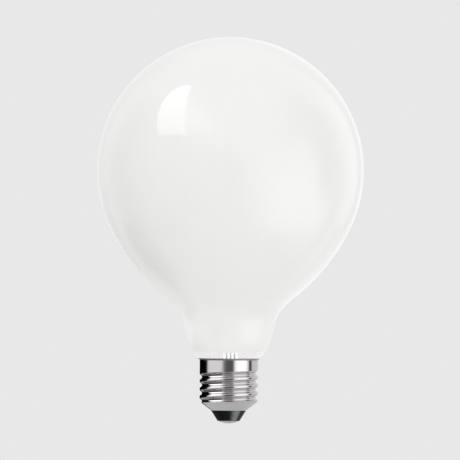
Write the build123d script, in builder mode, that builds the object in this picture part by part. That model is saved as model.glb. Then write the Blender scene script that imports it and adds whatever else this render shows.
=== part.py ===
"""A globe lamp: an opal glass bulb whose neck is cemented into a screw cap of rolled sheet metal.

The origin is the tip of the centre contact, on the lamp's axis, and +Z runs up the axis to the crown of the globe.
Lengths are in millimetres and angles in degrees.
"""

import os
from math import acos, asin, atan2, cos, degrees, radians, sin, sqrt, tan

from build123d import *

# The glass bulb. Its outline is a chain of tangent arcs, and each angle is the outline's slope from the axis.
globe_diameter = 120.0
flank_radius = 90.0
flank_top_angle = 26.0
throat_radius = 19.0
neck_top_angle = 7.0
neck_curve_radius = 24.0
neck_foot_angle = 42.0
neck_foot_inset = 0.05
spigot_length = 9.0
spigot_chamfer = 1.5

# The screw shell, drawn and rolled from thin sheet.
sheet_thickness = 0.3
shell_foot_diameter = 15.8
shoulder_angle = 52.0
shoulder_bend_radius = 1.4
skirt_height = 4.0
rim_bend_radius = 0.5
rim_lip_width = 0.2

# The rolled thread, with round crests and round roots of one radius that run into each other.
thread_diameter = 26.4
thread_pitch = 3.629
thread_depth = 1.1
thread_turns = 4
runout_turns = 0.5
crest_land = 0.04

# The insulator, a plug of black glass that closes the foot of the shell.
nose_height = 4.7
nose_tip_land = 0.4
nose_edge_radius = 0.4
flange_width = 2.4
flange_height = 1.0

# The centre contact, a domed plate with an eyelet clinched through the insulator.
contact_height = 1.1
contact_diameter = 9.0
plate_thickness = 0.3
eyelet_diameter = 3.4
eyelet_lip_width = 1.1
eyelet_lip_height = 0.5

# The leads and the cement between the bulb and its cap.
lead_diameter = 0.6
lead_drop = 3.3
lead_bend_radius = 3.0

# Fits.
fit_clearance = 0.05
cement_gap = 0.5

# Levels and radii of the shell. The first root lies half a pitch under the shoulder's corner on the +X side,
# clear of the sheet, so that the groove comes in over the shoulder at its full depth.
half_pitch = thread_pitch / 2
crest_radius = thread_diameter / 2
wall_radius = crest_radius - crest_land
shoulder_slope = radians(shoulder_angle)
nose_top = contact_height + nose_height
shoulder_top = nose_top + (crest_radius - shell_foot_diameter / 2) / tan(shoulder_slope)
first_root = shoulder_top - half_pitch
last_root = first_root + thread_turns * thread_pitch
skirt_top = last_root + half_pitch + skirt_height
rim_top = skirt_top + rim_bend_radius + sheet_thickness
rim_radius = wall_radius + rim_bend_radius + rim_lip_width
inner_foot_radius = shell_foot_diameter / 2 - sheet_thickness / cos(shoulder_slope)

# The thread's arcs and flank angle follow from crests and roots that touch half a pitch apart.
thread_arc_radius = (half_pitch**2 + thread_depth**2) / (4 * thread_depth)
thread_lean = degrees(atan2(half_pitch, 2 * thread_arc_radius - thread_depth))
crest_land_width = 2 * sqrt(2 * thread_arc_radius * crest_land - crest_land**2)

# The insulator's flange lies on the inside of the shoulder, a clearance off the sheet.
flange_foot_radius = inner_foot_radius - fit_clearance / cos(shoulder_slope)
flange_radius = flange_foot_radius + flange_width
flange_bottom = nose_top + flange_width / tan(shoulder_slope)
insulator_top = flange_bottom + flange_height
plate_top = contact_height + plate_thickness
plate_radius = contact_diameter / 2
eyelet_radius = eyelet_diameter / 2
eyelet_lip_radius = eyelet_radius + eyelet_lip_width
eyelet_top = insulator_top + eyelet_lip_height

# The bulb's spigot passes inside the thread and is cemented inside the skirt, above the end of the thread.
spigot_radius = crest_radius - thread_depth - sheet_thickness - cement_gap
spigot_bottom = rim_top - spigot_length
cement_bottom = last_root + runout_turns * thread_pitch + half_pitch


def groove_plane(turns):
    """The axial plane at a number of turns past the first root, with X outwards from the crests and Y up."""
    angle = radians(360 * turns)
    outward = Vector(cos(angle), sin(angle), 0)
    backward = Vector(sin(angle), -cos(angle), 0)
    place = outward * crest_radius + Vector(0, 0, first_root + turns * thread_pitch)
    return Plane(origin=place, x_dir=outward, z_dir=backward)


def round_groove(turns, lift):
    """One groove of the sheet's outer face: a root arc between two half crests, open past the crests.

    The lift takes it off the axis. Its edges part from the next turn's halfway out along the crest's land.
    """
    edge_gap = crest_land_width / 4
    edge_angle = degrees(asin(edge_gap / thread_arc_radius))
    half_width = half_pitch - edge_gap
    root_x = lift + thread_arc_radius - thread_depth
    crest_x = lift - thread_arc_radius
    open_x = lift + thread_depth
    with BuildSketch(groove_plane(turns)) as section:
        with BuildLine():
            CenterArc((root_x, 0), thread_arc_radius, 180 - thread_lean, 2 * thread_lean)
            lower = CenterArc((crest_x, -half_pitch), thread_arc_radius, thread_lean, edge_angle - thread_lean)
            upper = CenterArc((crest_x, half_pitch), thread_arc_radius, -thread_lean, thread_lean - edge_angle)
            Polyline(lower @ 1, (open_x, -half_width), (open_x, half_width), upper @ 1)
        make_face()
    return section.sketch


def straight_groove(turns, lift):
    """One groove of the sheet's hidden inner face: straight sides along the tangents of the offset arcs."""
    corner_reach = tan(radians(thread_lean / 2))
    root_half = (thread_arc_radius + sheet_thickness) * corner_reach
    crest_half = half_pitch - (thread_arc_radius - sheet_thickness) * corner_reach
    root_x = lift - thread_depth - sheet_thickness
    crest_x = lift - sheet_thickness
    open_x = lift + thread_depth
    with BuildSketch(groove_plane(turns)) as section:
        with BuildLine():
            Polyline(
                (open_x, -crest_half),
                (crest_x, -crest_half),
                (root_x, -root_half),
                (root_x, root_half),
                (crest_x, crest_half),
                (open_x, crest_half),
                close=True,
            )
        make_face()
    return section.sketch


def thread_path(start, turns):
    """The helix along the crests, from a number of turns past the first root."""
    foot = (0, 0, first_root + start * thread_pitch)
    with BuildLine() as path:
        helix = Helix(thread_pitch, turns * thread_pitch, crest_radius, foot, mode=Mode.PRIVATE)
        add(helix.rotate(Axis.Z, 360 * start))
    return path.line


def thread_groove(groove_section):
    """The rolled groove: full turns, and above them a part of a turn in which it fades out of the wall."""
    fade = thread_depth + crest_land
    first = groove_section(0, 0)
    last = groove_section(thread_turns, 0)
    head = groove_section(thread_turns + runout_turns, fade)
    with BuildPart() as groove:
        sweep(first, path=thread_path(0, thread_turns), is_frenet=True)
        sweep([last, head], path=thread_path(thread_turns, runout_turns), is_frenet=True, multisection=True)
    return groove.part


def cap_form(allowance, groove):
    """The cap's round form an allowance inside the sheet's outer face, with a thread groove rolled into it."""
    foot = shell_foot_diameter / 2 - allowance / cos(shoulder_slope)
    wall = wall_radius - allowance
    shoulder = nose_top + (wall - foot) / tan(shoulder_slope)
    bends = (0, shoulder_bend_radius - allowance)
    flare = rim_bend_radius + allowance
    with BuildPart() as form:
        with BuildSketch(Plane.XZ):
            with BuildLine():
                FilletPolyline((0, nose_top), (foot, nose_top), (wall, shoulder), (wall, skirt_top), radius=bends)
                rim = CenterArc((wall_radius + rim_bend_radius, skirt_top), flare, 180, -90)
                Polyline(rim @ 1, (0, skirt_top + flare), (0, nose_top))
            make_face()
        revolve(axis=Axis.Z)
        add(groove, mode=Mode.SUBTRACT)
    return form.part


# The glass bulb: foot on the rim, neck, throat, flank and globe as tangent arcs, closed along the axis.
# The slope at which the throat turns into the flank is the one that brings the globe's centre onto the axis.
globe_radius = globe_diameter / 2
neck_foot_radius = rim_radius - neck_foot_inset
neck_gain = neck_curve_radius * (cos(radians(neck_top_angle)) - cos(radians(neck_foot_angle)))
throat_reach = throat_radius * cos(radians(neck_top_angle))
flank_reach = (flank_radius - globe_radius) * cos(radians(flank_top_angle))
waist_cosine = (neck_foot_radius + neck_gain + throat_reach + flank_reach) / (flank_radius + throat_radius)
waist_angle = degrees(acos(waist_cosine))

with BuildPart() as opal_globe:
    with BuildSketch(Plane.XZ):
        with BuildLine():
            slope = radians(neck_foot_angle)
            neck_turn = neck_foot_angle - neck_top_angle
            throat_turn = neck_top_angle - waist_angle
            flank_turn = waist_angle - flank_top_angle
            globe_turn = 90 + flank_top_angle
            neck = JernArc((neck_foot_radius, rim_top), (sin(slope), cos(slope)), neck_curve_radius, neck_turn)
            throat = JernArc(neck @ 1, neck % 1, throat_radius, throat_turn)
            flank = JernArc(throat @ 1, throat % 1, flank_radius, flank_turn)
            globe = JernArc(flank @ 1, flank % 1, globe_radius, globe_turn)
            Polyline(
                globe @ 1,
                (0, spigot_bottom),
                (spigot_radius - spigot_chamfer, spigot_bottom),
                (spigot_radius, spigot_bottom + spigot_chamfer),
                (spigot_radius, rim_top),
                neck @ 0,
            )
        make_face()
    revolve(axis=Axis.Z)

# The screw shell: the sheet between the cap's outer and inner forms, with its rim turned out as a narrow flange.
shell_outside = cap_form(0, thread_groove(round_groove))
shell_inside = cap_form(sheet_thickness, thread_groove(straight_groove))

with BuildPart() as screw_shell:
    add(shell_outside)
    with BuildSketch(Plane.XY.offset(skirt_top + rim_bend_radius)):
        Circle(rim_radius)
    extrude(amount=sheet_thickness)
    add(shell_inside, mode=Mode.SUBTRACT)

# The insulator: a cone under the shell's foot, and a flange that seats inside the shoulder.
with BuildPart() as insulator:
    bore_radius = eyelet_radius + fit_clearance
    recess_radius = plate_radius + fit_clearance
    with BuildSketch(Plane.XZ) as insulator_section:
        with BuildLine():
            Polyline(
                (bore_radius, plate_top),
                (recess_radius, plate_top),
                (recess_radius, contact_height),
                (recess_radius + nose_tip_land, contact_height),
                (shell_foot_diameter / 2, nose_top),
                (flange_foot_radius, nose_top),
                (flange_radius, flange_bottom),
                (flange_radius, insulator_top),
                (bore_radius, insulator_top),
                close=True,
            )
        make_face()
        nose_tip = insulator_section.vertices().group_by(Axis.Y)[0].sort_by(Axis.X)[-1]
        fillet(nose_tip, nose_edge_radius)
    revolve(axis=Axis.Z)

# The centre contact: a shallow dome, its plate let into the insulator, and the eyelet with a hole for the lead.
with BuildPart() as centre_contact:
    dome_radius = (plate_radius**2 + contact_height**2) / (2 * contact_height)
    lead_hole_radius = lead_diameter / 2 + fit_clearance
    with BuildSketch(Plane.XZ):
        with BuildLine():
            dome = RadiusArc((0, 0), (plate_radius, contact_height), -dome_radius)
            Polyline(
                dome @ 1,
                (plate_radius, plate_top),
                (eyelet_radius, plate_top),
                (eyelet_radius, insulator_top),
                (eyelet_lip_radius, insulator_top),
                (eyelet_lip_radius, eyelet_top),
                (lead_hole_radius, eyelet_top),
                (lead_hole_radius, plate_top),
                (0, plate_top),
                (0, 0),
            )
        make_face()
    revolve(axis=Axis.Z)

# The cement: a ring between the bulb's spigot and the inside of the skirt.
with BuildPart() as cap_cement:
    with BuildSketch(Plane.XY.offset(cement_bottom)):
        Circle(wall_radius - sheet_thickness)
        Circle(spigot_radius, mode=Mode.SUBTRACT)
    extrude(amount=skirt_top - cement_bottom)

# The live lead: straight down the axis from the bulb into the eyelet.
with BuildPart() as live_lead:
    with BuildSketch(Plane.XY.offset(plate_top)):
        Circle(lead_diameter / 2)
    extrude(amount=spigot_bottom - plate_top)

# The neutral lead: down out of the bulb, then square onto the inside of the shoulder between flange and wall.
with BuildPart() as neutral_lead:
    joint_radius = (flange_radius + wall_radius - sheet_thickness) / 2
    joint_level = nose_top + (joint_radius - inner_foot_radius) / tan(shoulder_slope)
    end_radius = joint_radius - fit_clearance * cos(shoulder_slope)
    end_level = joint_level + fit_clearance * sin(shoulder_slope)
    bend_level = spigot_bottom - lead_drop
    bend_radius = end_radius - (bend_level - end_level) / tan(shoulder_slope)
    with BuildLine(Plane.XZ) as lead_path:
        FilletPolyline(
            (bend_radius, spigot_bottom),
            (bend_radius, bend_level),
            (end_radius, end_level),
            radius=lead_bend_radius,
        )
    with BuildSketch(Plane(origin=(bend_radius, 0, spigot_bottom), z_dir=(0, 0, -1))):
        Circle(lead_diameter / 2)
    sweep(path=lead_path.line)

pieces = {
    "opal_globe": opal_globe,
    "screw_shell": screw_shell,
    "insulator": insulator,
    "centre_contact": centre_contact,
    "cap_cement": cap_cement,
    "live_lead": live_lead,
    "neutral_lead": neutral_lead,
}
os.makedirs("parts", exist_ok=True)
for name, piece in pieces.items():
    piece.part.label = name
    export_step(piece.part, f"parts/{name}.step")
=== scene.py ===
"""Looks of a globe lamp: its opal glass bulb, bright screw cap, black glass insulator and domed contact.

Sizes of the lamp are in millimetres, as in its drawing, and become metres where a mesh is made.
Sizes of the studio around it are in metres.
"""

import logging
from dataclasses import dataclass, field
from enum import Enum

import bpy
import numpy as np
from mathutils import Matrix, Vector
from numpy.typing import NDArray


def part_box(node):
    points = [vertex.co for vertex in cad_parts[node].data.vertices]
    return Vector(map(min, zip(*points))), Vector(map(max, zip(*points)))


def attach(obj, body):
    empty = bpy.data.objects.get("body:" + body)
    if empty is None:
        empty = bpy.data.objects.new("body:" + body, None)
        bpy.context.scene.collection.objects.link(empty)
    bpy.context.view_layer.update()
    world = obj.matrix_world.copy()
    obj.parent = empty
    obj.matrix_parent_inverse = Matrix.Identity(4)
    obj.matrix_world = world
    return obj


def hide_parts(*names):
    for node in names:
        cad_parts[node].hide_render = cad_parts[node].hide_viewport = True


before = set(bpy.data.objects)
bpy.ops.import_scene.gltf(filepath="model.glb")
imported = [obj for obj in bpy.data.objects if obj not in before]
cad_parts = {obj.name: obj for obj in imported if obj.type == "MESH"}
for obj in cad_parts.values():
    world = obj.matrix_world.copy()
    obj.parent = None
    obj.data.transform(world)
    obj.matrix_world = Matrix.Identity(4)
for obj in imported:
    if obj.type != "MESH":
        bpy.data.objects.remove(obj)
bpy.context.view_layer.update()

Array = NDArray[np.float64]
Colour = tuple[float, float, float]
Place = tuple[float, float, float]
Span = tuple[float, float]
MM = 0.001
BODY = "root"
ON_AXIS = 1e-9
LEAST_FALL = 1e-6
LOG = logging.getLogger("globe_lamp")


class Slot(Enum):
    """Names of the lamp's material slots."""

    OPAL_GLASS = "opal_glass"
    NICKEL_PLATE = "nickel_plate"
    BLACK_GLASS = "black_glass"
    TINNED_CONTACT = "tinned_contact"
    CEMENT = "cement"
    LEAD_WIRE = "lead_wire"


class Effect(Enum):
    """Shader node groups that several finishes share."""

    CLOUDS = "clouds"
    TURNING_MARKS = "turning_marks"


class CardBuild(Enum):
    """Whether a card hides what is behind it or only adds light to it."""

    SOLID = "solid"
    ADDED = "added"


# Surfaces


def lathe(profile: Array, columns: int) -> Array:
    """Turn a profile about the axis: x is r cos(a), y is r sin(a), and z is the height.

    Args:
        profile: Points of radius and height, from the foot up along the outside.
        columns: Number of steps around the axis.

    Returns:
        Points of a grid, one row for each profile point, in the profile's unit.
    """
    angle = np.linspace(0.0, 2.0 * np.pi, columns, endpoint=False)
    radius = profile[:, :1]
    height = np.repeat(profile[:, 1:], columns, axis=1)
    return np.stack([radius * np.cos(angle), radius * np.sin(angle), height], axis=2)


def grid_faces(rows: int, columns: int, wrapped: bool) -> NDArray[np.int64]:
    """List the quads of a grid whose points are numbered row by row.

    Args:
        rows: Number of rows.
        columns: Number of columns.
        wrapped: Whether the last column joins the first.

    Returns:
        Four point numbers for each quad, counter-clockwise seen from outside a turned surface.
    """
    number = np.arange(rows * columns).reshape(rows, columns)
    ahead = np.roll(number, -1, axis=1)
    quads = np.stack([number[:-1], ahead[:-1], ahead[1:], number[1:]], axis=2)
    kept = quads if wrapped else quads[:, :-1]
    return kept.reshape(-1, 4)


def close_poles(points: Array) -> tuple[Array, list[list[int]]]:
    """Make vertices and faces of a turned grid, with each row on the axis drawn together into one vertex.

    Args:
        points: Grid of points, closed around the axis.

    Returns:
        The vertices, and the faces as lists of vertex numbers.
    """
    rows, columns, _ = points.shape
    number = np.arange(rows * columns).reshape(rows, columns)
    on_axis = np.hypot(points[..., 0], points[..., 1]).max(axis=1) < ON_AXIS
    number[on_axis] = number[on_axis, :1]
    used, compact = np.unique(number, return_inverse=True)
    quads = compact.reshape(-1)[grid_faces(rows, columns, wrapped=True)]
    flat_foot = quads[:, 0] == quads[:, 1]
    flat_head = quads[:, 2] == quads[:, 3]
    fans = np.concatenate([quads[flat_foot][:, [0, 2, 3]], quads[flat_head][:, [0, 1, 2]]])
    faces = quads[~(flat_foot | flat_head)].tolist() + fans.tolist()
    return points.reshape(-1, 3)[used], faces


def add_mesh(name: str, vertices: Array, faces: list[list[int]], crease: float = 35.0) -> bpy.types.Object:
    """Put a surface into a new smooth-shaded object at the origin.

    Args:
        name: Name of the object and of its mesh.
        vertices: Points in metres.
        faces: Vertex numbers of each face.
        crease: Angle between faces, in degrees, past which an edge stays sharp.

    Returns:
        The object, linked into the scene.
    """
    mesh = bpy.data.meshes.new(name)
    mesh.from_pydata(vertices.tolist(), [], faces)
    mesh.polygons.foreach_set("use_smooth", np.ones(len(mesh.polygons), dtype=bool))
    mesh.set_sharp_from_angle(angle=np.radians(crease))
    mesh.validate()
    piece = bpy.data.objects.new(name, mesh)
    bpy.context.scene.collection.objects.link(piece)
    return piece


# Shader nodes


@dataclass
class NodeBoard:
    """A node tree that is being wired up."""

    tree: bpy.types.NodeTree

    def add(self, kind: str, **settings: object) -> bpy.types.Node:
        """Add a node.

        Args:
            kind: Blender's name of the node type, without its ShaderNode prefix where it has one.
            **settings: Values for the node's own properties.

        Returns:
            The new node.
        """
        node = self.tree.nodes.new(kind if kind.startswith("NodeGroup") else "ShaderNode" + kind)
        for key, value in settings.items():
            setattr(node, key, value)
        return node

    def link(self, source: bpy.types.NodeSocket, target: bpy.types.NodeSocket) -> None:
        """Join an output socket to an input socket."""
        self.tree.links.new(source, target)

    def maths(self, operation: str, first: object, second: object = 0.5) -> bpy.types.NodeSocket:
        """Add a Math node.

        Args:
            operation: Name of the operation.
            first: First input, a socket or a number.
            second: Second input, a socket or a number.

        Returns:
            The node's output.
        """
        node = self.add("Math", operation=operation)
        for socket, value in zip(node.inputs, (first, second)):
            self.feed(value, socket)
        return node.outputs[0]

    def ramp(self, value: bpy.types.NodeSocket, low: float, high: float, start: float, end: float,
             smooth: bool = False) -> bpy.types.NodeSocket:
        """Map a value from one range onto another, clamped at both ends.

        Args:
            value: The value to map.
            low: Input that gives start.
            high: Input that gives end.
            start: Output at low.
            end: Output at high.
            smooth: Whether the change eases in and out.

        Returns:
            The mapped value.
        """
        node = self.add("MapRange", interpolation_type="SMOOTHSTEP" if smooth else "LINEAR")
        self.link(value, node.inputs["Value"])
        for name, number in (("From Min", low), ("From Max", high), ("To Min", start), ("To Max", end)):
            node.inputs[name].default_value = number
        return node.outputs["Result"]

    def blend(self, factor: bpy.types.NodeSocket, first: object, second: object) -> bpy.types.NodeSocket:
        """Mix two colours.

        Args:
            factor: Share of the second colour.
            first: Linear colour at 0, a socket or three numbers.
            second: Linear colour at 1, a socket or three numbers.

        Returns:
            The mixed colour.
        """
        node = self.add("Mix", data_type="RGBA")
        self.link(factor, node.inputs["Factor"])
        colours = [socket for socket in node.inputs if socket.type == "RGBA"]
        for socket, colour in zip(colours, (first, second)):
            self.feed(colour, socket)
        return next(socket for socket in node.outputs if socket.type == "RGBA")

    def feed(self, value: object, socket: bpy.types.NodeSocket) -> None:
        """Give a socket a link if the value is a socket, a colour if it has three numbers, or else a number.

        Args:
            value: What to feed.
            socket: Input socket that takes it.
        """
        if isinstance(value, bpy.types.NodeSocket):
            self.link(value, socket)
        elif isinstance(value, tuple):
            socket.default_value = (*value, 1.0)
        else:
            socket.default_value = value

    def effect(self, effect: Effect, **values: float) -> bpy.types.Node:
        """Place a shared effect, on Object coordinates.

        Args:
            effect: Which effect.
            **values: Numbers for the group's inputs, with _ for a space in a name.

        Returns:
            The group node.
        """
        node = self.add("Group", node_tree=effect_group(effect))
        place = self.add("TexCoord")
        self.link(place.outputs["Object"], node.inputs["Place"])
        for key, value in values.items():
            node.inputs[key.replace("_", " ")].default_value = value
        return node

    def height(self) -> bpy.types.NodeSocket:
        """Read off the height above the object's origin.

        Returns:
            The height in metres.
        """
        place = self.add("TexCoord")
        split = self.add("SeparateXYZ")
        self.link(place.outputs["Object"], split.inputs["Vector"])
        return split.outputs["Z"]


@dataclass(frozen=True)
class Clouds:
    """Soft uneven noise of two sizes, as a mask about one half."""

    coarse_detail: float = 3.0
    fine_detail: float = 2.0
    fine_ratio: float = 6.0
    fine_share: float = 0.3

    def wire(self, group: bpy.types.NodeTree) -> None:
        """Add up the coarse noise and the fine noise by their shares.

        Args:
            group: The empty group, which has a Place input.
        """
        group.interface.new_socket("Scale", in_out="INPUT", socket_type="NodeSocketFloat")
        group.interface.new_socket("Mask", in_out="OUTPUT", socket_type="NodeSocketFloat")
        board = NodeBoard(group)
        source = board.add("NodeGroupInput")
        target = board.add("NodeGroupOutput")
        coarse = board.add("TexNoise")
        fine = board.add("TexNoise")
        coarse.inputs["Detail"].default_value = self.coarse_detail
        fine.inputs["Detail"].default_value = self.fine_detail
        board.link(source.outputs["Place"], coarse.inputs["Vector"])
        board.link(source.outputs["Place"], fine.inputs["Vector"])
        board.link(source.outputs["Scale"], coarse.inputs["Scale"])
        board.link(board.maths("MULTIPLY", source.outputs["Scale"], self.fine_ratio), fine.inputs["Scale"])
        weak = board.maths("MULTIPLY", fine.outputs["Fac"], self.fine_share)
        strong = board.maths("MULTIPLY", coarse.outputs["Fac"], 1.0 - self.fine_share)
        board.link(board.maths("ADD", strong, weak), target.inputs["Mask"])


@dataclass(frozen=True)
class TurningMarks:
    """Fine lines around the axis, broken up along their length."""

    stretch: Place = (0.02, 0.02, 1.0)
    detail: float = 4.0
    roughness: float = 0.65

    def wire(self, group: bpy.types.NodeTree) -> None:
        """Make noise that changes fast with the height and hardly at all on the way around.

        Args:
            group: The empty group, which has a Place input.
        """
        group.interface.new_socket("Scale", in_out="INPUT", socket_type="NodeSocketFloat")
        group.interface.new_socket("Height", in_out="OUTPUT", socket_type="NodeSocketFloat")
        board = NodeBoard(group)
        source = board.add("NodeGroupInput")
        target = board.add("NodeGroupOutput")
        stretch = board.add("VectorMath", operation="MULTIPLY")
        stretch.inputs[1].default_value = self.stretch
        lines = board.add("TexNoise")
        lines.inputs["Detail"].default_value = self.detail
        lines.inputs["Roughness"].default_value = self.roughness
        board.link(source.outputs["Place"], stretch.inputs[0])
        board.link(stretch.outputs["Vector"], lines.inputs["Vector"])
        board.link(source.outputs["Scale"], lines.inputs["Scale"])
        board.link(lines.outputs["Fac"], target.inputs["Height"])


def effect_group(effect: Effect) -> bpy.types.NodeTree:
    """Find a shared effect's node group, or build it the first time.

    Args:
        effect: Which effect.

    Returns:
        The node group.
    """
    found = bpy.data.node_groups.get(effect.value)
    if found is not None:
        return found
    makers = {Effect.CLOUDS: Clouds(), Effect.TURNING_MARKS: TurningMarks()}
    group = bpy.data.node_groups.new(effect.value, "ShaderNodeTree")
    group.interface.new_socket("Place", in_out="INPUT", socket_type="NodeSocketVector")
    makers[effect].wire(group)
    return group


def blank_material(name: str) -> tuple[bpy.types.Material, NodeBoard]:
    """Make a material without nodes.

    Args:
        name: Name of the material.

    Returns:
        The material and its node board.
    """
    material = bpy.data.materials.new(name)
    material.use_nodes = True
    material.node_tree.nodes.clear()
    return material, NodeBoard(material.node_tree)


def new_material(name: str) -> tuple[bpy.types.Material, NodeBoard, bpy.types.Node]:
    """Make a material with one Principled shader.

    Args:
        name: Name of the material.

    Returns:
        The material, its node board and the shader.
    """
    material, board = blank_material(name)
    shader = board.add("BsdfPrincipled")
    output = board.add("OutputMaterial")
    board.link(shader.outputs["BSDF"], output.inputs["Surface"])
    return material, board, shader


def set_bump(board: NodeBoard, shader: bpy.types.Node, height: bpy.types.NodeSocket, depth: float) -> None:
    """Bend a shader's normals by a height.

    Args:
        board: The material's board.
        shader: Shader whose Normal is fed.
        height: Height from 0 to 1.
        depth: What a height of 1 stands for, in metres.
    """
    bump = board.add("Bump")
    bump.inputs["Strength"].default_value = 1.0
    bump.inputs["Distance"].default_value = depth
    board.link(height, bump.inputs["Height"])
    board.link(bump.outputs["Normal"], shader.inputs["Normal"])


# Finishes


@dataclass(frozen=True)
class OpalGlass:
    """White coat inside a clear glossy glass that is duller on the neck, where the coat fades out.

    Where the coat faces inwards it has an even painted glow, which stands in for the light that comes through
    it.
    """

    coat: Colour = (0.84, 0.835, 0.82)
    thin_coat: Colour = (0.82, 0.815, 0.8)
    # Colour of the painted glow on the coat's inner face, in place of light that comes through the coat.
    glow: Colour = (0.27, 0.27, 0.265)
    glass_roughness: Span = (0.02, 0.05)
    cloud_scale: float = 26.0
    cloud_span: Span = (0.35, 0.65)
    wave_scale: float = 14.0
    wave_depth: float = 0.00004
    clear_level: float = 29.2
    coated_level: float = 33.2
    least_cover: float = 0.28
    dull_level: float = 42.0
    gloss_level: float = 60.0
    dull_roughness: float = 0.26

    def material(self) -> bpy.types.Material:
        """Wire up the finish.

        Returns:
            The material.
        """
        material, board, shader = new_material("opal_glass_finish")
        clouds = board.effect(Effect.CLOUDS, Scale=self.cloud_scale)
        mask = board.ramp(clouds.outputs["Mask"], *self.cloud_span, 0.0, 1.0)
        board.link(board.blend(mask, self.coat, self.thin_coat), shader.inputs["Base Color"])
        level = board.height()
        dull = board.ramp(level, self.dull_level * MM, self.gloss_level * MM,
                          self.dull_roughness, 0.0, smooth=True)
        rough = board.ramp(mask, 0.0, 1.0, *self.glass_roughness)
        board.link(board.maths("MAXIMUM", dull, rough), shader.inputs["Roughness"])
        waves = board.effect(Effect.CLOUDS, Scale=self.wave_scale)
        set_bump(board, shader, waves.outputs["Mask"], self.wave_depth)
        cover = board.ramp(level, self.clear_level * MM, self.coated_level * MM,
                           self.least_cover, 1.0, smooth=True)
        board.link(cover, shader.inputs["Alpha"])
        # Painted glow: faces seen from inside emit the glow colour.
        side = board.add("NewGeometry")
        dark = (0.0, 0.0, 0.0)
        board.link(board.blend(side.outputs["Backfacing"], dark, self.glow), shader.inputs["Emission Color"])
        shader.inputs["Emission Strength"].default_value = 1.0
        return material


@dataclass(frozen=True)
class BrightNickel:
    """Mirror nickel plate over drawn sheet, with faint turning marks, a thin haze, and a rim that is duller
    and painted darker as shade under the glass.
    """

    plate: Colour = (0.665, 0.64, 0.652)
    haze: Colour = (0.6, 0.575, 0.588)
    # Painted shade: the rim's darker colour, where the bend lies in shade under the glass.
    dull: Colour = (0.44, 0.425, 0.43)
    roughness: Span = (0.05, 0.13)
    dull_roughness: float = 0.42
    rim_foot: float = 28.2
    rim_head: float = 28.6
    cloud_scale: float = 140.0
    cloud_span: Span = (0.35, 0.7)
    wear_span: Span = (0.0, 0.6)
    mark_scale: float = 5200.0
    mark_depth: float = 0.0000012

    def material(self) -> bpy.types.Material:
        """Wire up the finish.

        Returns:
            The material.
        """
        material, board, shader = new_material("bright_nickel_finish")
        clouds = board.effect(Effect.CLOUDS, Scale=self.cloud_scale)
        mask = board.ramp(clouds.outputs["Mask"], *self.cloud_span, 0.0, 1.0)
        marks = board.effect(Effect.TURNING_MARKS, Scale=self.mark_scale)
        # Towards the rim the plate turns rougher, and its colour turns to painted shade.
        rim = board.ramp(board.height(), self.rim_foot * MM, self.rim_head * MM, 0.0, 1.0, smooth=True)
        bright = board.blend(mask, self.plate, self.haze)
        board.link(board.blend(rim, bright, self.dull), shader.inputs["Base Color"])
        worn = board.maths("MULTIPLY", mask, marks.outputs["Height"])
        rough = board.ramp(worn, *self.wear_span, *self.roughness)
        dulled = board.maths("MULTIPLY", rim, self.dull_roughness)
        board.link(board.maths("MAXIMUM", rough, dulled), shader.inputs["Roughness"])
        shader.inputs["Metallic"].default_value = 1.0
        set_bump(board, shader, marks.outputs["Height"], self.mark_depth)
        return material


@dataclass(frozen=True)
class BlackGlass:
    """Black glass pressed hot into the cap, with a soft gloss and faint ripples from the mould."""

    deep: Colour = (0.002, 0.002, 0.0023)
    bloom: Colour = (0.005, 0.0053, 0.0056)
    roughness: Span = (0.26, 0.34)
    refraction: float = 1.18
    cloud_scale: float = 220.0
    cloud_span: Span = (0.35, 0.7)
    ripple_depth: float = 0.00001

    def material(self) -> bpy.types.Material:
        """Wire up the finish.

        Returns:
            The material.
        """
        material, board, shader = new_material("black_glass_finish")
        clouds = board.effect(Effect.CLOUDS, Scale=self.cloud_scale)
        mask = board.ramp(clouds.outputs["Mask"], *self.cloud_span, 0.0, 1.0)
        board.link(board.blend(mask, self.deep, self.bloom), shader.inputs["Base Color"])
        board.link(board.ramp(mask, 0.0, 1.0, *self.roughness), shader.inputs["Roughness"])
        shader.inputs["IOR"].default_value = self.refraction
        set_bump(board, shader, clouds.outputs["Mask"], self.ripple_depth)
        return material


@dataclass(frozen=True)
class TinnedMetal:
    """Tin run over the contact: bright, with the soft dimples of cooled solder."""

    tin: Colour = (0.66, 0.64, 0.66)
    dull: Colour = (0.5, 0.48, 0.5)
    roughness: Span = (0.2, 0.34)
    cloud_scale: float = 420.0
    cloud_span: Span = (0.35, 0.7)
    dimple_depth: float = 0.00004

    def material(self) -> bpy.types.Material:
        """Wire up the finish.

        Returns:
            The material.
        """
        material, board, shader = new_material("tinned_metal_finish")
        clouds = board.effect(Effect.CLOUDS, Scale=self.cloud_scale)
        mask = board.ramp(clouds.outputs["Mask"], *self.cloud_span, 0.0, 1.0)
        board.link(board.blend(mask, self.tin, self.dull), shader.inputs["Base Color"])
        board.link(board.ramp(mask, 0.0, 1.0, *self.roughness), shader.inputs["Roughness"])
        shader.inputs["Metallic"].default_value = 1.0
        set_bump(board, shader, clouds.outputs["Mask"], self.dimple_depth)
        return material


@dataclass(frozen=True)
class GritCement:
    """Baked cap cement, matte and grainy."""

    pale: Colour = (0.42, 0.31, 0.2)
    dark: Colour = (0.27, 0.19, 0.12)
    roughness: float = 0.9
    cloud_scale: float = 900.0
    grain_depth: float = 0.0001

    def material(self) -> bpy.types.Material:
        """Wire up the finish.

        Returns:
            The material.
        """
        material, board, shader = new_material("grit_cement_finish")
        clouds = board.effect(Effect.CLOUDS, Scale=self.cloud_scale)
        board.link(board.blend(clouds.outputs["Mask"], self.pale, self.dark), shader.inputs["Base Color"])
        shader.inputs["Roughness"].default_value = self.roughness
        set_bump(board, shader, clouds.outputs["Mask"], self.grain_depth)
        return material


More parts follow.
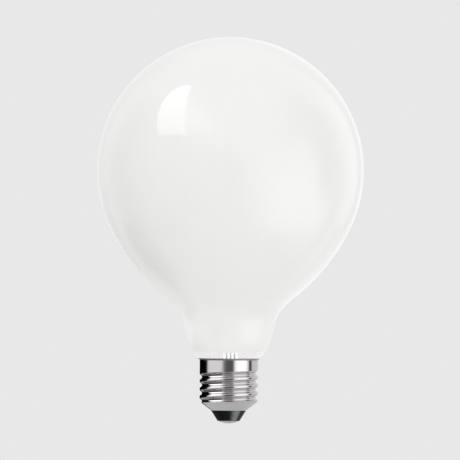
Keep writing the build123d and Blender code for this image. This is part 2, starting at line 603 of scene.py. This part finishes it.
@dataclass(frozen=True)
class DrawnWire:
    """Copper-clad lead wire with bright and dull patches."""

    bright: Colour = (0.55, 0.3, 0.18)
    dull: Colour = (0.3, 0.17, 0.11)
    roughness: Span = (0.25, 0.45)
    cloud_scale: float = 700.0
    cloud_span: Span = (0.3, 0.7)

    def material(self) -> bpy.types.Material:
        """Wire up the finish.

        Returns:
            The material.
        """
        material, board, shader = new_material("drawn_wire_finish")
        clouds = board.effect(Effect.CLOUDS, Scale=self.cloud_scale)
        board.link(board.blend(clouds.outputs["Mask"], self.bright, self.dull), shader.inputs["Base Color"])
        rough = board.ramp(clouds.outputs["Mask"], *self.cloud_span, *self.roughness)
        board.link(rough, shader.inputs["Roughness"])
        shader.inputs["Metallic"].default_value = 1.0
        return material


@dataclass(frozen=True)
class OxidisedWire:
    """Wire sealed into glass, whose oxide leaves it dark and dull."""

    oxide: Colour = (0.03, 0.028, 0.028)
    worn: Colour = (0.08, 0.075, 0.072)
    roughness: float = 0.6
    cloud_scale: float = 700.0

    def material(self) -> bpy.types.Material:
        """Wire up the finish.

        Returns:
            The material.
        """
        material, board, shader = new_material("oxidised_wire_finish")
        clouds = board.effect(Effect.CLOUDS, Scale=self.cloud_scale)
        board.link(board.blend(clouds.outputs["Mask"], self.oxide, self.worn), shader.inputs["Base Color"])
        shader.inputs["Roughness"].default_value = self.roughness
        return material


@dataclass(frozen=True)
class StemGlass:
    """Clear glass inside the bulb, with a painted glow in place of what the coat lets through: see-through,
    with painted bright edges.
    """

    glass: Colour = (0.9, 0.92, 0.9)
    pale_and_painted_glow: Colour = (1.0, 1.0, 0.98)
    cloud_scale: float = 300.0
    roughness: float = 0.08
    edge_blend: float = 0.5
    cover: Span = (0.15, 0.9)
    edge: Span = (0.45, 0.9)
    # Strength of the painted glow.
    glow: float = 1.3

    def material(self) -> bpy.types.Material:
        """Wire up the finish.

        Returns:
            The material.
        """
        material, board, shader = new_material("stem_glass_finish")
        clouds = board.effect(Effect.CLOUDS, Scale=self.cloud_scale)
        board.link(board.blend(clouds.outputs["Mask"], self.glass, self.pale_and_painted_glow), shader.inputs["Base Color"])
        shader.inputs["Roughness"].default_value = self.roughness
        # Painted bright edges: the glowing glass covers more towards its edges.
        facing = board.add("LayerWeight")
        facing.inputs["Blend"].default_value = self.edge_blend
        cover = board.ramp(facing.outputs["Facing"], *self.edge, *self.cover, smooth=True)
        board.link(cover, shader.inputs["Alpha"])
        # Painted glow, which stands in for light that comes through the coat.
        shader.inputs["Emission Color"].default_value = (*self.pale_and_painted_glow, 1.0)
        shader.inputs["Emission Strength"].default_value = self.glow
        return material


# The lamp


def dress(piece: bpy.types.Object, material: bpy.types.Material) -> None:
    """Give a piece one material, in place of any that it has."""
    piece.data.materials.clear()
    piece.data.materials.append(material)


def join_lamp(piece: bpy.types.Object, slot: Slot, *nodes: str) -> None:
    """Make a new piece part of the lamp.

    Args:
        piece: The piece, in place.
        slot: Material slot that its finish belongs to. Not used.
        *nodes: Nodes of the frame that it stands for.
    """
    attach(piece, BODY)
    if nodes:
        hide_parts(*nodes)
    LOG.info("%s: %d faces", piece.name, len(piece.data.polygons))


@dataclass
class GlassBulb:
    """The blown bulb: neck, throat, flank and globe in one outline of tangent arcs.

    Each angle is the outline's slope from the axis, in degrees.
    """

    finish: OpalGlass = field(default_factory=OpalGlass)
    globe_radius: float = 60.0
    flank_radius: float = 90.0
    flank_top_angle: float = 26.0
    throat_radius: float = 19.0
    neck_top_angle: float = 7.0
    neck_curve_radius: float = 24.0
    neck_foot_angle: float = 42.0
    neck_foot_radius: float = 13.81
    spigot_radius: float = 11.3
    spigot_length: float = 9.0
    spigot_chamfer: float = 1.5
    columns: int = 208
    rows: int = 260
    blend_length: float = 3.0

    def waist_angle(self) -> float:
        """Slope at which the throat turns into the flank, so that the globe's centre comes onto the axis.

        Returns:
            The slope in radians.
        """
        neck_top, neck_foot, flank_top = np.radians(
            [self.neck_top_angle, self.neck_foot_angle, self.flank_top_angle])
        reach = self.neck_foot_radius + self.neck_curve_radius * (np.cos(neck_top) - np.cos(neck_foot))
        reach += self.throat_radius * np.cos(neck_top)
        reach += (self.flank_radius - self.globe_radius) * np.cos(flank_top)
        return float(np.arccos(reach / (self.flank_radius + self.throat_radius)))

    def outline(self, foot_level: float, crown_level: float) -> Array:
        """Walk up the spigot, out to the foot of the neck, and along the bulb's arcs to the crown.

        Along an arc the slope changes evenly with the length. It is averaged over the blend length to each
        side, because blown glass turns from one curve into the next without a break. A step of length d at
        slope a adds d sin(a) to the radius and d cos(a) to the height. What is then missed at the crown is
        spread over the steps below the globe.

        Args:
            foot_level: Height of the neck's foot, on the cap's rim.
            crown_level: Height of the crown.

        Returns:
            Points of radius and height from the axis under the spigot to the crown.
        """
        neck_foot, neck_top, flank_top = np.radians(
            [self.neck_foot_angle, self.neck_top_angle, self.flank_top_angle])
        slopes = np.array([neck_foot, neck_top, self.waist_angle(), flank_top, -np.pi / 2])
        radii = np.array([self.neck_curve_radius, self.throat_radius, self.flank_radius, self.globe_radius])
        joins = np.concatenate([[0.0], np.cumsum(radii * np.abs(np.diff(slopes)))])
        stride = joins[-1] / self.rows
        slope = np.interp(stride * (np.arange(self.rows) + 0.5), joins, slopes)
        reach = round(self.blend_length / stride)
        window = np.full(2 * reach + 1, 1.0 / (2 * reach + 1))
        eased = np.convolve(np.pad(slope, reach, mode="reflect", reflect_type="odd"), window, mode="valid")
        foot = np.array([self.neck_foot_radius, foot_level])
        wall = foot + np.cumsum(stride * np.stack([np.sin(eased), np.cos(eased)], axis=1), axis=0)
        miss = np.array([0.0, crown_level]) - wall[-1]
        wall += np.clip(stride * np.arange(1, self.rows + 1) / joins[-2], 0.0, 1.0)[:, None] * miss
        LOG.info("outline of the bulb: missed the crown by %.4f mm", np.hypot(*miss))
        bottom = foot_level - self.spigot_length
        spigot = np.array([
            [0.0, bottom],
            [self.spigot_radius - self.spigot_chamfer, bottom],
            [self.spigot_radius, bottom + self.spigot_chamfer],
            [self.spigot_radius, foot_level],
            foot,
        ])
        return np.concatenate([spigot, wall])

    def build(self) -> bpy.types.Object:
        """Turn the outline into the bulb and dress it.

        Returns:
            The bulb.
        """
        foot_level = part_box("screw_shell")[1].z / MM
        crown_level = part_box("opal_globe")[1].z / MM
        vertices, faces = close_poles(lathe(self.outline(foot_level, crown_level), self.columns) * MM)
        bulb = add_mesh("opal_bulb", vertices, faces)
        dress(bulb, self.finish.material())
        join_lamp(bulb, Slot.OPAL_GLASS, "opal_globe")
        return bulb


@dataclass
class Stem:
    """What stands in the neck: a glass tube around a pillar, with lead wires up its sides."""

    glass: StemGlass = field(default_factory=StemGlass)
    wire: OxidisedWire = field(default_factory=OxidisedWire)
    offset: float = 0.7
    tube_radius: float = 3.0
    pillar_radius: float = 1.7
    wire_radius: float = 0.42
    wire_circle: float = 2.0
    wire_count: int = 6
    bottom: float = 21.0
    top: float = 52.0
    columns: int = 64
    wire_columns: int = 12
    dome_rows: int = 8

    def post(self, radius: float, top: float) -> Array:
        """Profile of a round post with a domed top.

        Args:
            radius: Radius of the post.
            top: Height of its top.

        Returns:
            Points of radius and height from the foot on the axis to the top.
        """
        turn = np.linspace(0.0, np.pi / 2, self.dome_rows)
        dome = np.stack([radius * np.cos(turn), top - radius + radius * np.sin(turn)], axis=1)
        dome[-1, 0] = 0.0
        return np.concatenate([np.array([[0.0, self.bottom], [radius, self.bottom]]), dome])

    def wires(self) -> tuple[Array, list[list[int]]]:
        """Stand copies of one thin post evenly on a circle.

        Returns:
            The vertices in millimetres, and the faces.
        """
        vertices, faces = close_poles(lathe(self.post(self.wire_radius, self.top), self.wire_columns))
        turn = 2.0 * np.pi * np.arange(self.wire_count) / self.wire_count + np.pi / 2
        shift = self.wire_circle * np.stack([np.cos(turn), np.sin(turn), np.zeros_like(turn)], axis=1)
        copies = (vertices[None] + shift[:, None]).reshape(-1, 3)
        starts = range(0, len(copies), len(vertices))
        return copies, [[start + number for number in face] for start in starts for face in faces]

    def build(self) -> list[bpy.types.Object]:
        """Make the tube, the pillar and the wires.

        Returns:
            The pieces.
        """
        glass = self.glass.material()
        shift = np.array([self.offset, 0.0, 0.0])
        pieces = []
        for name, radius, top in (
            ("stem_tube", self.tube_radius, self.top - self.tube_radius),
            ("stem_pillar", self.pillar_radius, self.top - self.pillar_radius),
        ):
            vertices, faces = close_poles(lathe(self.post(radius, top), self.columns))
            post = add_mesh(name, (vertices + shift) * MM, faces)
            dress(post, glass)
            join_lamp(post, Slot.OPAL_GLASS)
            pieces.append(post)
        vertices, faces = self.wires()
        wires = add_mesh("stem_wires", (vertices + shift) * MM, faces)
        dress(wires, self.wire.material())
        join_lamp(wires, Slot.LEAD_WIRE)
        return pieces + [wires]


@dataclass
class ScrewCap:
    """The cap's own pieces, whose shapes come from the frame and which get their finishes here."""

    nickel: BrightNickel = field(default_factory=BrightNickel)
    black_glass: BlackGlass = field(default_factory=BlackGlass)
    tin: TinnedMetal = field(default_factory=TinnedMetal)
    cement: GritCement = field(default_factory=GritCement)
    wire: DrawnWire = field(default_factory=DrawnWire)

    def build(self) -> list[bpy.types.Object]:
        """Dress each piece of the cap.

        Returns:
            The pieces.
        """
        wire = self.wire.material()
        finishes = {
            "screw_shell": self.nickel.material(),
            "insulator": self.black_glass.material(),
            "centre_contact": self.tin.material(),
            "cap_cement": self.cement.material(),
            "live_lead": wire,
            "neutral_lead": wire,
        }
        for name, material in finishes.items():
            dress(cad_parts[name], material)
            LOG.info("%s: finish %s", name, material.name)
        return [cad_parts[name] for name in finishes]


# The studio


@dataclass(frozen=True)
class Patch:
    """A soft-edged patch of light or shade on a dome.

    Azimuths are from the camera's side, with right positive, and elevations from the horizon, all in degrees.
    """

    name: str
    azimuths: Span
    elevations: Span
    radiance: float
    soft_sides: Span
    soft_ends: Span

    def lay_over(self, shown: Array, azimuth: Array, elevation: Array) -> Array:
        """Cover what a dome shows so far, fully inside the patch and less towards its edges.

        Args:
            shown: Radiance so far.
            azimuth: Azimuth of each point.
            elevation: Elevation of each point.

        Returns:
            The new radiance.
        """
        around = self.azimuths[0] + np.mod(azimuth - self.azimuths[0], 360.0)
        veil = soft_span(around, self.azimuths, self.soft_sides)
        veil = veil * soft_span(elevation, self.elevations, self.soft_ends)
        return shown + veil * (self.radiance - shown)


@dataclass(frozen=True)
class Dome:
    """What some pieces mirror: a sky and a ground around a level of the axis, with patches laid over."""

    name: str
    level: float
    radius: float
    foot: float
    sky: float
    ground: float
    patches: tuple[Patch, ...]
    horizon: Span = (-14.0, -4.0)
    columns: int = 181
    rows: int = 121

    def hang(self, build: CardBuild, receivers: list[bpy.types.Object]) -> None:
        """Span the dome around the lamp and lay its patches over it, one after the other.

        At azimuth a, elevation e and reach d its point is d (cos e sin a, -cos e cos a, sin e). The reach is
        the radius, or less where the dome would go below its foot.

        Args:
            build: Whether it hides what is behind it.
            receivers: Pieces that show it.
        """
        azimuth, elevation = np.meshgrid(
            np.linspace(-180.0, 180.0, self.columns), np.linspace(-90.0, 90.0, self.rows))
        around = np.radians(azimuth)
        rise = np.sin(np.radians(elevation))
        flat = np.cos(np.radians(elevation))
        reach = np.minimum(self.radius, (self.level - self.foot) / np.maximum(-rise, LEAST_FALL))
        ways = np.stack([flat * np.sin(around), -flat * np.cos(around), rise], axis=2)
        points = reach[..., None] * ways + np.array([0.0, 0.0, self.level])
        shown = self.ground + (self.sky - self.ground) * ease(elevation, *self.horizon)
        for patch in self.patches:
            shown = patch.lay_over(shown, azimuth, elevation)
        shine_on(hang_card(self.name, points, shown, build), receivers)
        LOG.info("%s: %s", self.name, ", ".join(patch.name for patch in self.patches))


@dataclass(frozen=True)
class ShadeCard:
    """A dark card bent around the lamp's axis, which takes soft light from one side of it."""

    name: str = "left_shade"
    distance: float = 0.3
    azimuths: Span = (-165.0, -85.0)
    levels: Span = (-0.1, 0.01)
    radiance: float = 0.05
    columns: int = 40
    rows: int = 2

    def hang(self) -> None:
        """Bend the card: at azimuth a and level h its point is (d sin a, -d cos a, h)."""
        azimuths = np.linspace(*self.azimuths, self.columns)
        around, level = np.meshgrid(np.radians(azimuths), np.linspace(*self.levels, self.rows))
        points = np.stack([self.distance * np.sin(around), -self.distance * np.cos(around), level], axis=2)
        card = hang_card(self.name, points, np.full_like(level, self.radiance), CardBuild.SOLID)
        card.visible_glossy = False
        card.visible_diffuse = True
        card.visible_shadow = True


@dataclass(frozen=True)
class WindowCard:
    """A card with one round corner, spanned by two edges from its square corner, which the bulb mirrors."""

    name: str = "window_card"
    corner: Place = (-0.426, -0.439, 0.427)
    side_edge: Place = (-0.16, 0.214, -0.032)
    upper_edge: Place = (0.123, 0.398, 0.283)
    radiance: float = 3.0
    glow: float = 0.34
    glow_reach: float = 2.2
    glow_fade: Span = (-2.2, -0.6)
    glow_rise: Span = (0.0, 0.3)
    rim_fade: Span = (-1.0, -0.4)
    edge_fade: Span = (-0.16, -0.1)
    foot_share: float = 0.6
    steps: int = 96

    def hang(self, receivers: list[bpy.types.Object]) -> None:
        """Fill a half round: corner + s (cos t side edge + sin t upper edge), for s up to 1 and t up to 180.

        The second quarter reaches further sideways. There the light fades out, so that it is only a glow.

        Args:
            receivers: Pieces that show it.
        """
        share = np.linspace(0.0, 1.0, self.steps)[:, None]
        turn = np.linspace(0.0, np.pi, self.steps)[None, :]
        side = share * np.cos(turn) * np.where(turn > np.pi / 2, self.glow_reach, 1.0)
        upper = share * np.sin(turn)
        points = (np.array(self.corner) + side[..., None] * np.array(self.side_edge)
                  + upper[..., None] * np.array(self.upper_edge))
        pane = ease(side, *self.edge_fade) * (self.foot_share + (1.0 - self.foot_share) * upper)
        glow = self.glow * ease(side, *self.glow_fade)
        glow = glow * ease(-share, *self.rim_fade) * ease(upper, *self.glow_rise)
        shown = self.radiance * np.maximum(pane, glow)
        shine_on(hang_card(self.name, points, shown, CardBuild.ADDED), receivers)


def ease(value: Array, low: float, high: float) -> Array:
    """Rise smoothly from 0 at one value to 1 at another.

    Args:
        value: Values to weigh.
        low: Value that gives 0.
        high: Value that gives 1.

    Returns:
        A weight for each value.
    """
    share = np.clip((value - low) / (high - low), 0.0, 1.0)
    return share * share * (3.0 - 2.0 * share)


def soft_span(value: Array, ends: Span, soft: Span) -> Array:
    """Rise from 0 to 1 past one end of a span and fall back before the other, eased.

    Args:
        value: Places along the span.
        ends: First and last place.
        soft: Length of the rise and of the fall.

    Returns:
        A weight for each place.
    """
    return np.minimum(ease(value, ends[0], ends[0] + soft[0]), ease(-value, -ends[1], soft[1] - ends[1]))


def hang_card(name: str, points: Array, shown: Array, build: CardBuild) -> bpy.types.Object:
    """Hang a card in the studio that only mirroring pieces show.

    Args:
        name: Name of the card.
        points: Grid of points in metres.
        shown: Radiance at each point.
        build: Whether it hides what is behind it.

    Returns:
        The card.
    """
    rows, columns, _ = points.shape
    card = add_mesh(name, points.reshape(-1, 3), grid_faces(rows, columns, wrapped=False).tolist())
    painted = card.data.attributes.new("shown", "FLOAT", "POINT")
    painted.data.foreach_set("value", shown.reshape(-1))
    material, board = blank_material(name)
    material.cycles.emission_sampling = "NONE"
    light = board.add("Emission")
    board.link(board.add("Attribute", attribute_name="shown").outputs["Fac"], light.inputs["Strength"])
    surface = light.outputs["Emission"]
    if build is CardBuild.ADDED:
        both = board.add("AddShader")
        board.link(surface, both.inputs[0])
        board.link(board.add("BsdfTransparent").outputs["BSDF"], both.inputs[1])
        surface = both.outputs["Shader"]
    board.link(surface, board.add("OutputMaterial").inputs["Surface"])
    dress(card, material)
    for rays in ("camera", "diffuse", "transmission", "volume_scatter", "shadow"):
        setattr(card, "visible_" + rays, False)
    return card


def shine_on(source: bpy.types.Object, receivers: list[bpy.types.Object]) -> None:
    """Let only some pieces show the light of a lamp or a card.

    Args:
        source: The lamp or card.
        receivers: Pieces that show it.
    """
    shown_on = bpy.data.collections.new(source.name + "_shown_on")
    for piece in receivers:
        shown_on.objects.link(piece)
    source.light_linking.receiver_collection = shown_on


@dataclass(frozen=True)
class FlatLamp:
    """A flat lamp that faces a point, from a direction and a distance, with its beam's angle in degrees."""

    name: str
    direction: Place
    distance: float
    size: Span
    power: float
    beam: float = 180.0
    mirrored: bool = True

    def hang(self, aim: Vector) -> bpy.types.Object:
        """Hang the lamp.

        Args:
            aim: The point.

        Returns:
            The lamp.
        """
        light = bpy.data.lights.new(self.name, "AREA")
        light.shape = "RECTANGLE"
        light.size, light.size_y = self.size
        light.energy = self.power
        light.spread = np.radians(self.beam)
        lamp = bpy.data.objects.new(self.name, light)
        bpy.context.scene.collection.objects.link(lamp)
        back = Vector(self.direction).normalized()
        lamp.location = aim + back * self.distance
        lamp.rotation_euler = back.to_track_quat("Z", "Y").to_euler()
        lamp.visible_camera = False
        lamp.visible_glossy = self.mirrored
        return lamp


@dataclass
class Studio:
    """The pale room around the lamp: backdrop, floor, lamps, cards and camera."""

    backdrop: float = 0.806
    ambient: float = 0.9
    floor_level: float = -0.12
    floor_radius: float = 1.8
    floor_colour: Colour = (0.75, 0.75, 0.75)
    floor_fade: Span = (0.06, 0.3)
    floor_light: float = 0.95
    floor_rows: int = 60
    floor_columns: int = 96
    key: FlatLamp = FlatLamp(
        "key_light", direction=(0.03, -0.86, 0.52), distance=1.6, size=(1.2, 1.2), power=4.3, mirrored=False)
    foot_light: FlatLamp = FlatLamp(
        "foot_light", direction=(0.567, -0.162, -0.808), distance=0.1, size=(0.07, 0.05), power=0.24)
    neck_light: FlatLamp = FlatLamp(
        "neck_light", direction=(-0.94, 0.34, 0.0), distance=0.1, size=(0.06, 0.034), power=0.0012,
        beam=20.0, mirrored=False)
    neck_level: float = 0.047
    camera_distance: float = 8.0
    frame_height: float = 0.2072
    frame_centre: Span = (0.00002, 0.0871)
    camera_roll: float = 0.43
    sensor: float = 36.0

    # Each patch has a name, azimuths, elevations, a radiance, and the softness of its sides and of its ends.
    cap_dome: Dome = Dome("cap_dome", level=0.02, radius=0.9, foot=-0.117, sky=0.79, ground=0.66, patches=(
        Patch("left_flag", (-187.0, -85.0), (-26.0, 48.0), 0.0, (9.0, 17.0), (14.0, 8.0)),
        Patch("low_left_shade", (-160.0, -78.0), (-42.0, -6.0), 0.12, (20.0, 14.0), (14.0, 14.0)),
        Patch("left_pane", (-97.0, -14.0), (-4.0, 74.0), 0.98, (17.0, 26.0), (3.5, 10.0)),
        Patch("high_left_light", (-175.0, -40.0), (44.0, 84.0), 2.2, (14.0, 22.0), (7.0, 10.0)),
        Patch("groove_light", (-106.0, -30.0), (8.0, 84.0), 2.3, (18.0, 14.0), (14.0, 10.0)),
        Patch("crest_line", (-114.0, -22.0), (-64.0, -2.0), 0.04, (16.0, 14.0), (8.0, 4.0)),
        Patch("front_shade", (-32.0, 24.0), (-84.0, 86.0), 0.34, (18.0, 10.0), (10.0, 10.0)),
        Patch("front_flag", (-28.0, 26.0), (-9.0, 9.0), 0.12, (24.0, 10.0), (5.0, 5.0)),
        Patch("low_right_light", (14.0, 96.0), (-78.0, -3.0), 0.6, (28.0, 24.0), (16.0, 6.0)),
        Patch("high_right_light", (14.0, 96.0), (3.0, 84.0), 1.12, (28.0, 24.0), (8.0, 12.0)),
        Patch("right_panel", (12.0, 88.0), (-7.0, 8.0), 1.6, (26.0, 22.0), (4.0, 4.0)),
        Patch("right_strip", (80.0, 109.0), (-19.0, 19.0), 0.08, (11.0, 15.0), (7.0, 7.0)),
    ))
    bulb_dome: Dome = Dome("bulb_dome", level=0.114, radius=0.8, foot=-0.116, sky=1.35, ground=1.2, patches=(
        Patch("left_shade", (-140.0, -36.0), (-64.0, 52.0), 0.75, (42.0, 12.0), (32.0, 32.0)),
        Patch("front_shade", (-66.0, 26.0), (-58.0, 34.0), 0.48, (24.0, 24.0), (40.0, 36.0)),
        Patch("low_left_shade", (-164.0, -82.0), (-68.0, -16.0), 0.4, (36.0, 22.0), (20.0, 16.0)),
        Patch("rear_light", (136.0, 240.0), (-60.0, 64.0), 0.98, (12.0, 32.0), (20.0, 36.0)),
        Patch("upper_right_shade", (44.0, 112.0), (20.0, 60.0), 0.95, (22.0, 22.0), (14.0, 16.0)),
        Patch("right_window", (14.0, 116.0), (-58.0, 30.0), 2.75, (40.0, 36.0), (28.0, 48.0)),
        Patch("right_band", (70.0, 116.0), (-24.0, 42.0), 0.92, (18.0, 24.0), (20.0, 20.0)),
        Patch("right_rim_light", (102.0, 146.0), (-56.0, 48.0), 1.72, (22.0, 20.0), (26.0, 36.0)),
        Patch("rear_right_light", (144.0, 182.0), (-50.0, 40.0), 1.12, (10.0, 14.0), (20.0, 20.0)),
        Patch("low_right_light", (116.0, 178.0), (-60.0, -10.0), 1.25, (16.0, 20.0), (18.0, 16.0)),
        Patch("low_rear_shade", (174.0, 226.0), (-64.0, -2.0), 0.85, (14.0, 18.0), (16.0, 14.0)),
    ), horizon=(-40.0, 10.0))
    shade: ShadeCard = ShadeCard()
    window: WindowCard = WindowCard()

    def build(self, bulb: list[bpy.types.Object], cap: list[bpy.types.Object]) -> None:
        """Set up the whole studio.

        Args:
            bulb: Pieces of the bulb.
            cap: Pieces of the cap.
        """
        self.hang_backdrop()
        self.lay_floor()
        self.hang_lamps(bulb)
        self.cap_dome.hang(CardBuild.SOLID, cap)
        self.bulb_dome.hang(CardBuild.ADDED, bulb)
        self.window.hang(bulb)
        self.shade.hang()
        self.set_camera()
        bpy.context.scene.view_settings.view_transform = "Standard"

    def hang_backdrop(self) -> None:
        """Make a world that lights evenly, and that the camera, mirrors and glass see as a pale ground."""
        world = bpy.data.worlds.new("pale_room")
        bpy.context.scene.world = world
        world.use_nodes = True
        world.node_tree.nodes.clear()
        board = NodeBoard(world.node_tree)
        path = board.add("LightPath")
        seen = board.maths("MAXIMUM", path.outputs["Is Camera Ray"], path.outputs["Is Glossy Ray"])
        seen = board.maths("MAXIMUM", seen, path.outputs["Is Transmission Ray"])
        ground = board.add("Background")
        board.link(board.blend(seen, (self.ambient,) * 3, (self.backdrop,) * 3), ground.inputs["Color"])
        board.link(ground.outputs["Background"], board.add("OutputWorld").inputs["Surface"])

    def lay_floor(self) -> None:
        """Lay a round pale floor that keeps the lamp's shadow and fades into the backdrop further out.

        Soft light that the lamp gets back from the floor is even.
        """
        radius = np.linspace(0.0, self.floor_radius, self.floor_rows)
        profile = np.stack([radius[::-1], np.full_like(radius, self.floor_level)], axis=1)
        vertices, faces = close_poles(lathe(profile, self.floor_columns))
        floor = add_mesh("floor", vertices, faces)
        material, board = blank_material("pale_floor")
        matte = board.add("BsdfDiffuse")
        matte.inputs["Color"].default_value = (*self.floor_colour, 1.0)
        far = board.add("Emission")
        bounced = board.add("LightPath").outputs["Is Diffuse Ray"]
        board.link(board.blend(bounced, (self.backdrop,) * 3, (self.floor_light,) * 3), far.inputs["Color"])
        place = board.add("TexCoord")
        flat = board.add("VectorMath", operation="MULTIPLY")
        flat.inputs[1].default_value = (1.0, 1.0, 0.0)
        away = board.add("VectorMath", operation="LENGTH")
        board.link(place.outputs["Object"], flat.inputs[0])
        board.link(flat.outputs["Vector"], away.inputs[0])
        mixed = board.add("MixShader")
        faded = board.ramp(away.outputs["Value"], *self.floor_fade, 0.0, 1.0, smooth=True)
        board.link(board.maths("MAXIMUM", faded, bounced), mixed.inputs["Fac"])
        board.link(matte.outputs["BSDF"], mixed.inputs[1])
        board.link(far.outputs["Emission"], mixed.inputs[2])
        board.link(mixed.outputs["Shader"], board.add("OutputMaterial").inputs["Surface"])
        dress(floor, material)

    def hang_lamps(self, bulb: list[bpy.types.Object]) -> None:
        """Hang a large soft lamp above the camera, a small one under the cap and a narrow one by the neck.

        Only the insulator shows the second, and only the bulb the third.

        Args:
            bulb: Pieces of the bulb.
        """
        self.key.hang(Vector((0.0, 0.0, self.frame_centre[1])))
        low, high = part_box("insulator")
        foot_lamp = self.foot_light.hang((Vector(low) + Vector(high)) / 2)
        shine_on(foot_lamp, [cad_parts["insulator"]])
        neck_lamp = self.neck_light.hang(Vector((0.0, 0.0, self.neck_level)))
        shine_on(neck_lamp, bulb)

    def set_camera(self) -> None:
        """Stand a long-lens camera level with the middle of the lamp, tipped sideways by a hair."""
        lens = bpy.data.cameras.new("camera")
        lens.sensor_width = self.sensor
        lens.lens = self.sensor * self.camera_distance / self.frame_height
        camera = bpy.data.objects.new("camera", lens)
        bpy.context.scene.collection.objects.link(camera)
        level = Matrix.Rotation(np.radians(90.0), 4, "X")
        roll = Matrix.Rotation(np.radians(self.camera_roll), 4, "Z")
        place = Matrix.Translation((self.frame_centre[0], -self.camera_distance, self.frame_centre[1]))
        camera.matrix_world = place @ level @ roll
        bpy.context.scene.camera = camera


def main() -> None:
    """Build the lamp's looks and the studio around it."""
    logging.basicConfig(level=logging.INFO, format="%(name)s %(message)s")
    bulb = [GlassBulb().build(), *Stem().build()]
    cap = ScrewCap().build()
    Studio().build(bulb, cap)


if __name__ == "__main__":
    main()
